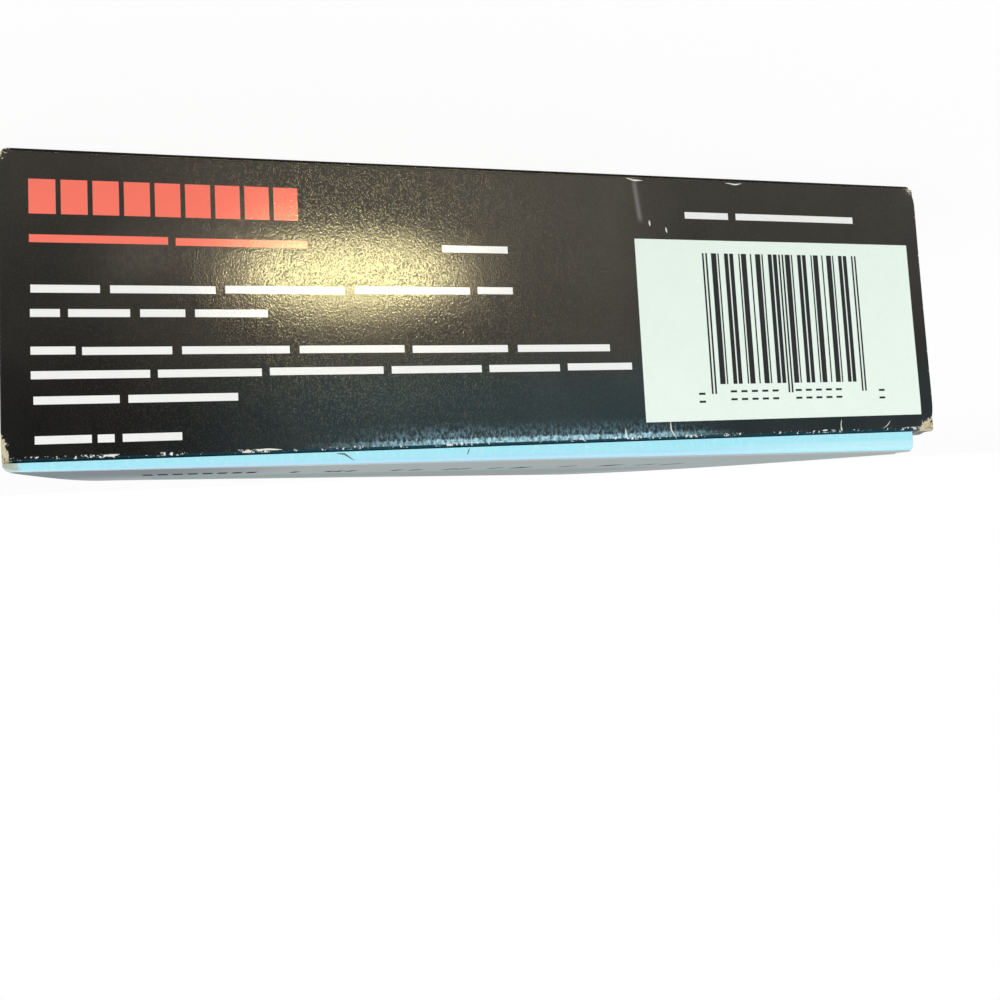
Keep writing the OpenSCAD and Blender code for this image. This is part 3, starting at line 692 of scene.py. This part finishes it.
def makeBack():
    # flat sheet with round edges; its corners are pulled in to an arc by the corner's radius
    halfX, halfY, radius, edge = (backPanel[key] for key in ("halfX", "halfY", "corner", "edge"))
    margin = backPanel["fine"]
    fine = np.linspace(0, margin, 14)
    across, along = (np.concatenate([fine - half, np.linspace(margin - half, half - margin, 60)[1:-1],
                                     half - fine[::-1]]) for half in (halfX, halfY))
    x, y = np.meshgrid(across, along, indexing="ij")
    overX = np.clip(np.abs(x) - (halfX - radius), 0, None) / radius
    overY = np.clip(np.abs(y) - (halfY - radius), 0, None) / radius
    # square corner to round one: both overhangs shrink by the larger over their length, where there is one
    larger, length = np.maximum(overX, overY), np.hypot(overX, overY)
    shrink = np.where(length > 0, larger / np.maximum(length, 1e-9), 1)
    x = np.sign(x) * (np.minimum(np.abs(x), halfX - radius) + overX * shrink * radius)
    y = np.sign(y) * (np.minimum(np.abs(y), halfY - radius) + overY * shrink * radius)
    lift = roundOff(radius * (1 - larger), edge)
    front = np.stack([x, y, lift], -1)
    back = np.stack([x, y, np.maximum(backPanel["board"], lift + backPanel["leastBoard"])], -1)
    piece = closedSheet("backBoard", front, back, "packed_carton", backPrint, rawBoard)
    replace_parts(piece, "back_panel")


def makeSide(name, side, replaced):
    # side is -1 or 1: a sheet that swells out over its middle as a sine of z by a parabola of y, with low
    # waves and quarter-circle folds
    halfY, low, high, fold = (sidePanel[key] for key in ("halfY", "low", "high", "fold"))
    y = threeSpans((-halfY, *sidePanel["evenY"], halfY), (8, 90, 8))
    z = threeSpans((low, *sidePanel["evenZ"], high), (10, 36, 10))
    y, z = np.meshgrid(y, z, indexing="ij")
    swell = sidePanel["swell"] * (1 - (y / halfY) ** 2) * np.sin(np.pi * (z - low) / (high - low))
    waves = sidePanel["wave"] * np.sin(y / 13 + side) * np.sin(z / 8 + y / 37) * (1 - (y / halfY) ** 8)
    x = sidePanel["out"] - roundOff(np.minimum(z - low, high - z), fold) + swell + waves
    front = np.stack([side * x, y, z], -1)
    back = np.stack([side * (np.minimum(x, sidePanel["out"]) - sidePanel["board"]), y, z], -1)
    piece = closedSheet(name, front, back, "packed_carton", sidePrint, rawBoard)
    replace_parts(piece, replaced)


makeBack()
makeSide("leftBoard", -1, "left_side_panel")
makeSide("rightBoard", 1, "right_side_panel")
makeEndBoard("farEndBoard", 1, boardDepth, "far_end", farPrint, "far_closure")
print("back, sides and far end made")


# front panel: half widths of the board and of its swell (spanX), heights of its middle and its leans at the
# near and far ends, and its two damaged near corners
frontShape = {"halfX": 78.5, "halfY": 80.0, "spanX": 78, "base": 45.3, "fold": 47.0, "radius": 1.0,
              "board": 0.5, "nearMiddle": 47.76, "nearSlope": 0.0153, "farMiddle": 47.90,
              "farSlope": 0.0290, "swell": 0.25, "wave": 0.06, "edgeLift": 0.5, "fineReach": 10}
crushedCorner = {"from": 73.2, "length": 9.0, "rim": (0.84, 1.0), "tornRim": (0.94, 1.0), "drop": 0.99,
                 "crumple": 0.25, "crumpleFrom": (-79.5, -78), "pullReach": 3}
roundedCorner = {"at": (79.5, -81), "squash": 0.8, "reach": 2.2, "drop": 0.66, "pull": (0.15, 0.3)}


def frontProfile(half):
    # across one span: rim, round fold, face, round fold, rim. Gives the share of the height, the share of the
    # rim and the place of each step
    radius, fold, base = frontShape["radius"], frontShape["fold"], frontShape["base"]
    rimSteps, foldSteps, fine = 3, 9, frontShape["fineReach"]
    rim = np.linspace(0, 1, rimSteps + 1)[:-1]
    angle = np.radians(np.linspace(0, 90, foldSteps))
    # the face's steps are fine near its edges, where a corner is crushed, and coarse over its middle
    face = np.concatenate([np.linspace(radius, fine, 27)[1:], np.linspace(fine, half, 32)[1:]])
    place = half - np.concatenate([np.zeros(rimSteps), radius * (1 - np.cos(angle)), face])
    height = np.concatenate([(fold - base) * rim, fold - base + radius * np.sin(angle),
                             np.full(len(face), fold - base + radius)])
    height, rim = height / height.max(), np.concatenate([rim, np.ones(foldSteps + len(face))])
    height, rim = (np.concatenate([share, share[-2::-1]]) for share in (height, rim))
    return height, rim, np.concatenate([-place, place[-2::-1]])


def frontTop(x, y):
    # height of the front's face: it leans up towards low x, more so at the far end, with a low swell, soft
    # waves, and side edges that arch up along the length, by the fourth power of x
    halfY = frontShape["halfY"]
    along = (y + halfY) / (2 * halfY)
    middle = frontShape["nearMiddle"] + (frontShape["farMiddle"] - frontShape["nearMiddle"]) * along
    slope = frontShape["nearSlope"] + (frontShape["farSlope"] - frontShape["nearSlope"]) * along
    across, arch = x / frontShape["spanX"], 1 - (y / halfY) ** 2
    waves = frontShape["wave"] * np.sin(x / 13 + y / 31) * np.sin(y / 19 + 1)
    lift = frontShape["edgeLift"] * across ** 4 * arch
    return middle - x * slope + lift + (1 - across ** 2) * arch * (frontShape["swell"] + waves)


def makeFront():
    halfX, halfY, base = frontShape["halfX"], frontShape["halfY"], frontShape["base"]
    heightX, rimX, placeX = frontProfile(halfX)
    heightY, rimY, placeY = frontProfile(halfY)
    x, y = np.meshgrid(placeX, placeY, indexing="ij")
    height, rim = np.minimum(heightX[:, None], heightY[None, :]), np.minimum(rimX[:, None], rimY[None, :])
    z = base + height * (frontTop(x, y) - base)
    # the near corner at low x is crushed over a quarter ellipse and crumpled by a sine, and the other is
    # rounded off by a bell curve
    reach = np.hypot((x + halfX) / (halfX - crushedCorner["from"]), (y + halfY) / crushedCorner["length"])
    crushed = 1 - smoothStep(reach, *crushedCorner["rim"])
    (cornerX, cornerY), (pullX, pullY) = roundedCorner["at"], roundedCorner["pull"]
    off = np.hypot(x - cornerX, (y - cornerY) * roundedCorner["squash"])
    rounded = gaussian(off / roundedCorner["reach"])
    z = base + (z - base) * (1 - crushedCorner["drop"] * crushed) * (1 - roundedCorner["drop"] * rounded)
    crumple = crushedCorner["crumple"] * (1 + np.sin(x * 2.1 + y * 0.8))
    z = z + crushed * crumple * smoothStep(y, *crushedCorner["crumpleFrom"])
    pulled = crushed * gaussian((y + halfY) / crushedCorner["pullReach"])
    front = np.stack([x - pullX * rounded, y + pullY * rounded + pulled, z], -1)
    board = frontShape["board"]
    back = np.stack([x * (1 - board / frontShape["spanX"]), y * (1 - board / halfY), z - board * rim], -1)
    piece = closedSheet("frontBoard", front, back, "packed_carton", frontPrint, rawBoard, True)
    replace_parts(piece, "front_panel")


frontColours = {"rim": (0.37, 0.81, 0.93), "rimLow": (0.42, 0.72, 0.91), "rimPale": (0.56, 0.88, 0.96),
                "field": (0.36, 0.43, 0.43), "fieldWarm": (0.39, 0.40, 0.40), "fieldPaintedShade": (0.17, 0.21, 0.24),
                "brown": (0.24, 0.15, 0.11)}
# levels of the share of height, and places in millimetres, at which the front's colours change
frontLook = {"fieldStart": (0.90, 0.94), "rimLow": (0.52, 0.66), "rimLowSpan": (-42, 60, 14),
             "rimLowShare": 0.8, "streaks": (0.45, 0.75), "rubAndHighlight": (0.42, 0.80, 0.1), "rubAndHighlightEnds": (20, 60),
             "rubAndHighlightShare": 0.7, "paintedShadeX": (30, 60), "paintedShadeY": (-60, 20), "paintedShadeShare": 0.75,
             "brownEdge": (76.2, 77.4), "brownFrom": (0, 30), "brownShare": 0.85, "bareAt": (79, -80.5),
             "bareReach": (3.2, 3.0), "bareShare": 0.8, "foldAt": 0.95, "foldSlope": 9,
             "nearFold": (-79.3, -78.3), "nearFoldSlope": 0.5, "chipSlope": 0.12, "chips": (0.60, 0.66),
             "grazing": (0.80, 0.93)}


def heightShare(x, y, z):
    # share of the height over the end's fold, from 0 to 1, with the lean and the arched edges of frontTop
    halfY = frontShape["halfY"]
    along = (y + halfY) / (2 * halfY)
    top = frontShape["nearMiddle"] + along * (frontShape["farMiddle"] - frontShape["nearMiddle"]) \
        - x * (frontShape["nearSlope"] + along * (frontShape["farSlope"] - frontShape["nearSlope"])) \
        + (x / frontShape["spanX"]) ** 4 * along * (1 - along) * (4 * frontShape["edgeLift"])
    return (z - frontShape["base"]) / (top - frontShape["base"])


def frontInk(tree, x, y, vector, share):
    # light blue on the rim and its folds, and the grey field from the round fold on, with painted shade over
    # the field towards high x at the near end
    look, colours = frontLook, frontColours
    cloud = tree.noise(vector, 0.05, 3, 0.6)
    streaks = tree.noise(tree.stretched(vector, (1.4, 1, 0.5)), 1.0, 3, 0.6)
    rim = tree.blend(tree.rise(streaks, *look["streaks"]) * 0.5, colours["rim"], colours["rimPale"])
    low = tree.rise(share, *look["rimLow"]) * tree.band(x, *look["rimLowSpan"]) * look["rimLowShare"]
    rim = tree.blend(low, rim, colours["rimLow"])
    field = tree.blend(tree.rise(cloud, 0.3, 0.7), colours["field"], colours["fieldWarm"])
    # painted shade on the field towards high x and the near end
    near = tree.rise(x, *look["paintedShadeX"]) * (1 - tree.rise(y, *look["paintedShadeY"])) * look["paintedShadeShare"]
    field = tree.blend(near, field, colours["fieldPaintedShade"])
    return tree.blend(tree.rise(share, *look["fieldStart"]), rim, field), cloud


def frontWearAndHighlight(tree, x, y, share, grain, colour):
    look = frontLook
    # the rim by the fold is paler towards low x: partly rubbed and partly a painted highlight
    rubAndHighlight = tree.band(share, *look["rubAndHighlight"]) * tree.rise(-x, *look["rubAndHighlightEnds"])
    colour = tree.blend(rubAndHighlight * look["rubAndHighlightShare"], colour, frontColours["rimPale"])
    # one stretch of the far part of the edge at low x is brown
    farBrown = tree.rise(-x, *look["brownEdge"]) * tree.rise(y, *look["brownFrom"])
    colour = tree.blend(farBrown * look["brownShare"], colour, frontColours["brown"])
    # the crushed corner is torn board, dark where it meets the end
    reachX = (x + frontShape["halfX"]) / (frontShape["halfX"] - crushedCorner["from"])
    reachY = (y + frontShape["halfY"]) / crushedCorner["length"]
    crushed = 1 - tree.rise((reachX ** 2 + reachY ** 2) ** 0.5, *crushedCorner["tornRim"])
    torn = tree.blend(tree.rise(grain + share, 0.55, 0.85), boardColours["navy"], boardColours["rawDark"])
    colour = tree.blend(crushed * (1 - tree.rise(share, 0.55, 0.80)), colour, torn)
    # the rounded corner has lost its ink
    (bareX, bareY), (reachX, reachY) = look["bareAt"], look["bareReach"]
    reach = (((x - bareX) / reachX) ** 2 + ((y - bareY) / reachY) ** 2) ** 0.5
    bare = 1 - tree.rise(reach + (grain - 0.5) * 0.8, 0.6, 1.1)
    return tree.blend(bare * look["bareShare"], colour, boardColours["rawDark"])


def frontMaterial():
    material, tree, (x, y, z, vector) = startMaterial("frontPrint")
    normal, crackle = laminate(tree, vector)
    grain = tree.noise(vector, 1.9, 4, 0.65)
    share = heightShare(x, y, z)
    colour, cloud = frontInk(tree, x, y, vector, share)
    colour = frontWearAndHighlight(tree, x, y, share, grain, colour)
    # chips on the round folds: all along the far and side ones, only at the corners on the near one
    look = frontLook
    nearFold = (1 - tree.rise(y, *look["nearFold"])) * (frontShape["spanX"] - abs(x)).most(0)
    off = abs(share - look["foldAt"]) * look["foldSlope"] + nearFold * look["nearFoldSlope"]
    chip = tree.rise(grain - off * look["chipSlope"], *look["chips"])
    raw = tree.blend(crackle, boardColours["rawDark"], boardColours["raw"])
    colour = tree.blend(chip, colour, raw)
    # glossy from above, and matt at the grazing angle of the photo, where the film shows no sheen
    matt = tree.surface(colour, 0.6, normal, Specular_IOR_Level=0.0)
    glossy = tree.surface(colour, 0.22 + cloud * 0.1, normal, Specular_IOR_Level=0.45)
    facing = tree.node("ShaderNodeLayerWeight", None, {"Blend": 0.5}, "Facing")
    grazing = tree.rise(facing, *look["grazing"])
    tree.finish(tree.node("ShaderNodeMixShader", None, {0: grazing, 1: glossy, 2: matt}))
    return material


frontPrint = frontMaterial()
makeFront()


# print of the front in millimetres: plain blocks and ticks, a field (window) and a band
frontLayout = {"lift": 0.012, "tickLift": 0.015, "window": (62, -16, -62, 44), "band": (-12, 54, -62, 62),
               "blocks": {"count": 8, "from": 61.5, "to": 59.7, "step": 2.75, "low": -46, "high": -36},
               "ticks": {"width": 1.3, "low": -40, "high": -31,
                         "at": (33, 26, 24, 21.6, 12, 8, 0.4, -2.4, -9.5, -14.5, -15.9, -26, -35.4, -36.8,
                                -45, -51)}}


def makeOnFront(name, rects, lift, material, rows, columns):
    # patches of print on the front, from rectangles (x0, y0, x1, y1), that follow the face
    x, y = patchGrid(rects, rows, columns)
    top = frontTop(x, y)
    front, back = np.stack([x, y, top + lift], -1), np.stack([x, y, top - sheetRules["printDepth"]], -1)
    closedSheet(name, front, back, "packed_carton", material)


def makeFrontPrint():
    navy = printMaterial("frontNavy", (0.035, 0.03, 0.06), 0.2, 0.5, 0.0)
    window = printMaterial("frontWindow", (0.31, 0.37, 0.37), 0.1, 0.5, 0.0)
    coral = printMaterial("frontCoral", (0.42, 0.19, 0.14), 0.05, 0.4, 0.0)
    blocks, ticks = frontLayout["blocks"], frontLayout["ticks"]
    rects = []
    for i in range(blocks["count"]):
        shift = blocks["step"] * i
        rects.append((blocks["from"] - shift, blocks["low"], blocks["to"] - shift, blocks["high"]))
    rects += [(x, ticks["low"], x - ticks["width"], ticks["high"]) for x in ticks["at"]]
    makeOnFront("frontBars", rects, frontLayout["tickLift"], navy, 3, 8)
    makeOnFront("frontWindowField", [frontLayout["window"]], frontLayout["lift"], window, 60, 40)
    makeOnFront("frontCoralBands", [frontLayout["band"]], frontLayout["lift"], coral, 60, 8)


makeFrontPrint()
print("front made")


# scratches and nicks: lines of (x, z) points, each with its width, in millimetres
wear = {"steps": 12, "tip": 0.15, "nickLift": 0.02, "scratchLift": 0.012,
        "nicks": [([(-19.9, 0.75), (-21.5, 1.05), (-23.0, 1.1)], 0.26),
                  ([(-38.9, 0.9), (-40.9, 1.15), (-42.2, 0.9)], 0.22),
                  ([(-25.2, 41.95), (-25.25, 43.6), (-26.2, 45.1)], 0.20),
                  ([(-16.92, 43.1), (-16.95, 44.74)], 0.2), ([(-23.76, 7.95), (-23.85, 8.98)], 0.25),
                  ([(-26.8, 9.1), (-26.95, 10.1)], 0.25),
                  ([(-58.75, 42.7), (-58.5, 43.6), (-58.6, 44.3)], 0.12),
                  ([(-58.5, 43.9), (-58.6, 44.8)], 0.26),
                  ([(-68.9, 43.2), (-68.2, 44.0), (-67.2, 44.6)], 0.10),
                  ([(-54.6, 44.6), (-55.7, 44.5)], 0.25), ([(64.8, 44.7), (62.9, 44.6)], 0.3),
                  ([(43.6, 44.6), (41.7, 44.55), (39.6, 44.65)], 0.24),
                  ([(45.5, 44.9), (44.0, 44.7)], 0.25)],
        "scratches": [([(31.45, 45.55), (30.18, 45.65), (28.7, 46.7)], 0.22),
                      ([(10.21, 45.4), (10.69, 46.5)], 0.16)]}


def flatDepth(x, z):
    return 0 * x


def makeStrokes(name, strokes, surfaceDepth, lift, body, material):
    # thin strokes on an upright surface, each along its line and tapering to its ends like a sine
    t = np.linspace(0, 1, wear["steps"])
    x, z = (np.stack([np.interp(t, np.linspace(0, 1, len(line)), [point[axis] for point in line])
                      for line, _ in strokes]) for axis in (0, 1))
    dx, dz = np.gradient(x, axis=1), np.gradient(z, axis=1)
    length = np.hypot(dx, dz)
    half = np.array([width for _, width in strokes])[:, None] / 2 * (wear["tip"] + np.sin(np.pi * t))
    side = np.array([-1.0, 1.0])
    px = x[..., None] - (dz / length * half)[..., None] * side
    pz = z[..., None] + (dx / length * half)[..., None] * side
    face = endPanel["face"] + surfaceDepth(px, pz)
    back = np.stack([px, face + sheetRules["printDepth"], pz], -1)
    closedSheet(name, np.stack([px, face - lift, pz], -1), back, body, material)


def makeWear():
    nickInk = rawBoardMaterial("tornPaper", (0.92, 0.93, 0.90), (0.70, 0.70, 0.64))
    scratchInk = printMaterial("scratchShade", (0.12, 0.13, 0.14), 0.3, 0.6)
    makeStrokes("paperNicks", wear["nicks"], endDepth, wear["nickLift"], "near_end", nickInk)
    makeStrokes("rimScratches", wear["scratches"], flatDepth, wear["scratchLift"], "packed_carton",
                scratchInk)


makeWear()
print("wear made")


# finishes of the pieces that keep their solid
def grainFinish(name, light, dark, scale, bump, roughness, stretch=(1, 1, 1), spread=0.12, **fixed):
    # a surface whose tone, sheen and relief all follow one grain
    material, tree, (*_, vector) = startMaterial(name)
    grain = tree.noise(tree.stretched(vector, stretch), scale, 4, 0.6)
    cloud = tree.noise(vector, 0.06, 2, 0.5)
    tone = tree.blend(tree.rise(grain * 0.7 + cloud * 0.3, 0.35, 0.65), dark, light)
    tree.finish(tree.surface(tone, roughness + grain * spread, tree.bump(grain, bump), **fixed))
    return material


def circuitFinish():
    # green mask with lighter copper runs under it and tinned pads in rows
    material, tree, (x, y, _, vector) = startMaterial("circuitBoard")
    lanes = tree.zigzag(y + tree.noise(vector, 0.15, 0) * 6, 0.6)
    track = tree.rise(lanes, 0.34, 0.40) * tree.rise(tree.noise(vector, 0.11, 1), 0.46, 0.52)
    colour = tree.blend(track, (0.012, 0.12, 0.05), (0.03, 0.24, 0.09))
    padPitch = 2.54
    rows, columns = tree.zigzag(x, padPitch / 2), tree.zigzag(y, padPitch / 2)
    pad = (1 - tree.rise(rows.least(columns).most(rows + columns - 1.1), 0.30, 0.36)) \
        * tree.rise(tree.noise(vector, 0.07, 0), 0.60, 0.62)
    colour = tree.blend(pad, colour, (0.62, 0.62, 0.60))
    tree.finish(tree.surface(colour, 0.35 - pad * 0.1, tree.bump(track, 0.00004)))
    return material


def keyFinish():
    # soft grey rubber, with painted light on the key tops and painted shade lower down between them
    material, tree, (_, _, z, vector) = startMaterial("keyRubber")
    grain = tree.noise(vector, 3.0, 3, 0.6)
    # painted light: paler above a height, darker below it
    tone = tree.blend(tree.rise(z, 21.2, 21.7), (0.16, 0.17, 0.19), (0.33, 0.35, 0.39))
    tone = tree.blend(grain * 0.3, tone, (0.24, 0.26, 0.29))
    tree.finish(tree.surface(tone, 0.55 + grain * 0.15, tree.bump(grain, 0.00003)))
    return material


def paperFinish():
    # printed sheets: pale paper with plain grey lines of print on top and page edges on the sides
    material, tree, (x, y, z, vector) = startMaterial("guidePaper")
    fibre = tree.noise(vector, 1.4, 5, 0.7)
    lines = tree.zigzag(y, 2.0)
    inside = tree.band(abs(x), -1, 38, 0.2) * tree.band(y, -44, 40, 0.2)
    words = tree.rise(tree.noise(tree.stretched(vector, (0.28, 0.5, 0)), 1.0, 1), 0.40, 0.44)
    printed = tree.rise(lines, 1.45, 1.55) * inside * words * tree.rise(z, 6.35, 6.45)
    pages = tree.zigzag(z, 0.12)
    colour = tree.blend(fibre * 0.35, (0.84, 0.84, 0.81), (0.70, 0.69, 0.64))
    pageEdges = tree.rise(pages, 0.07, 0.11) * 0.3 * (1 - tree.rise(z, 6.3, 6.4))
    colour = tree.blend(pageEdges, colour, (0.5, 0.49, 0.45))
    colour = tree.blend(printed * 0.75, colour, (0.18, 0.19, 0.22))
    tree.finish(tree.surface(colour, 0.62 + fibre * 0.15, tree.bump(fibre, 0.00003)))
    return material


def glassFinish():
    # clear plastic, faintly smeared
    material, tree, (*_, vector) = startMaterial("clearWindow")
    smear = tree.noise(vector, 0.15, 3, 0.6)
    tree.finish(tree.surface((0.92, 0.95, 0.95), 0.06 + smear * 0.1, None, Transmission_Weight=0.9, IOR=1.49))
    return material


finishes = {
    "whiteBoard": rawBoardMaterial("whiteBoard", (0.86, 0.85, 0.81), (0.72, 0.70, 0.64), 0.8),
    "casePlastic": grainFinish("casePlastic", (0.075, 0.08, 0.09), (0.05, 0.054, 0.062), 5.0, 0.00003, 0.42),
    "deckPlastic": grainFinish("deckPlastic", (0.10, 0.105, 0.12), (0.075, 0.08, 0.09), 6.0, 0.00002, 0.48),
    "footRubber": grainFinish("footRubber", (0.03, 0.03, 0.03), (0.015, 0.015, 0.015), 2.5, 0.00004, 0.7),
    "chipPlastic": grainFinish("chipPlastic", (0.022, 0.022, 0.025), (0.012, 0.012, 0.013), 8.0, 0.00001,
                               0.5),
    "steel": grainFinish("platedSteel", (0.66, 0.66, 0.67), (0.5, 0.5, 0.51), 2.0, 0.00001, 0.28,
                         (0.4, 3, 0.4), 0.1, Metallic=1.0),
    "brass": grainFinish("contactBrass", (0.80, 0.62, 0.30), (0.62, 0.46, 0.20), 2.0, 0.00001, 0.3,
                         (3, 0.4, 3), 0.1, Metallic=1.0),
    "displayGlass": grainFinish("displayGlass", (0.34, 0.39, 0.31), (0.29, 0.34, 0.27), 0.8, 0.000005, 0.12),
    "circuit": circuitFinish(), "keys": keyFinish(), "paper": paperFinish(), "window": glassFinish(),
    "raw": rawBoard}

# the nodes that carry each finish
finishNodes = {
    "raw": ["glue_flap", "near_tongue", "far_tongue", "near_left_dust_flap", "near_right_dust_flap",
            "far_left_dust_flap", "far_right_dust_flap"],
    "whiteBoard": ["cradle_platform", "cradle_left_leg", "cradle_right_leg", "cradle_left_fence",
                   "cradle_right_fence", "cradle_near_fence", "cradle_far_fence"],
    "paper": ["user_guide", "reference_card"],
    "casePlastic": ["base_shell", "battery_door", "lid_shell"],
    "deckPlastic": ["key_deck", "lid_bezel"],
    "footRubber": ["base_feet"],
    "keys": ["key_mat"],
    "circuit": ["main_board", "display_board"],
    "chipPlastic": ["processor_chip", "memory_chip"],
    "steel": ["base_screws", "lid_screws", "left_battery_cell", "right_battery_cell", "left_hinge_pin",
              "right_hinge_pin"],
    "brass": ["battery_contact"],
    "window": ["display_window"],
    "displayGlass": ["display_glass"]}

for finishName, nodeNames in finishNodes.items():
    for nodeName in nodeNames:
        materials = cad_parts[nodeName].data.materials
        materials.clear()
        materials.append(finishes[finishName])
print("finishes on", sum(map(len, finishNodes.values())), "carried-over nodes")
